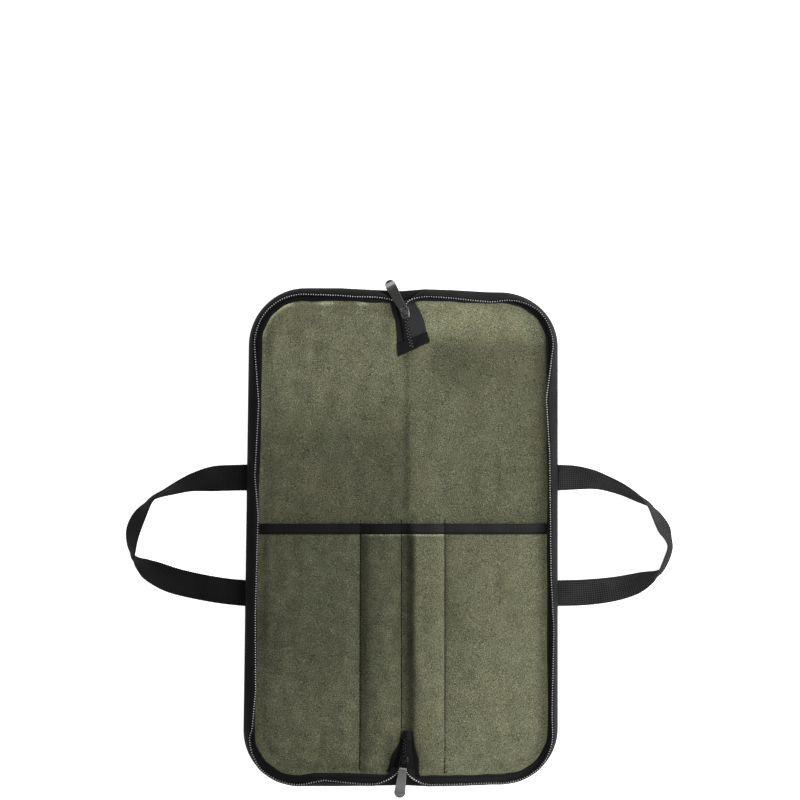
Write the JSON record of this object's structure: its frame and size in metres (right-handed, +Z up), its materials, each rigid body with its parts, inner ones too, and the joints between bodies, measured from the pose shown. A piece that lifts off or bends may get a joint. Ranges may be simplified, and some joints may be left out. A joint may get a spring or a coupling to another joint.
{
  "type": "chef knife roll",
  "caption": "Waxed canvas zip-up knife roll lying open, inside up, with knife pockets, a bound edge, two-way zip and webbing handles.",
  "frame": {"origin": "on the surface that the open roll lies on, under the middle of its spine", "axes": "+Z up out of the open roll's inside, +X across it to the right half, +Y along the spine to the end opposite the pockets"},
  "size_m": [0.5262, 0.4983, 0.0255],
  "materials": {
    "canvas": "olive waxed canvas, mottled, slightly creased",
    "lining": "olive waxed canvas, mottled, slightly creased",
    "binding": "near-black woven binding tape, slight sheen",
    "tape": "near-black woven zip tape",
    "coil": "grey nylon zip coil",
    "webbing": "near-black 1 inch webbing, fine ribbed weave",
    "metal": "dark gunmetal plating"
  },
  "bodies": {
    "roll": {"outer_shell": "canvas", "lining": "lining", "pocket_panel": "lining", "pocket_binding": "binding", "edge_binding": "binding", "zipper_tape_left": "tape", "zipper_tape_right": "tape", "zipper_coil_left": "coil", "zipper_coil_right": "coil", "zipper_tail_top": "tape", "zipper_tail_bottom": "tape", "zipper_end_tab_top": "binding", "zipper_end_tab_bottom": "binding", "slider_top": "metal", "slider_bottom": "metal", "handle_left": "webbing", "handle_right": "webbing"},
    "top_pull": {"pull_top": "metal"},
    "bottom_pull": {"pull_bottom": "metal"}
  },
  "joints": [
    {"name": "top_pull_swing", "type": "hinge", "parent": "roll", "child": "top_pull", "pos_m": [0.0029, 0.21627, 0.0125], "axis": [0.9063, 0.4226, 0], "range_deg": [0, 165]},
    {"name": "bottom_pull_swing", "type": "hinge", "parent": "roll", "child": "bottom_pull", "pos_m": [0.0018, -0.21506, 0.0125], "axis": [-0.9912, 0.1323, 0], "range_deg": [0, 165]}
  ]
}
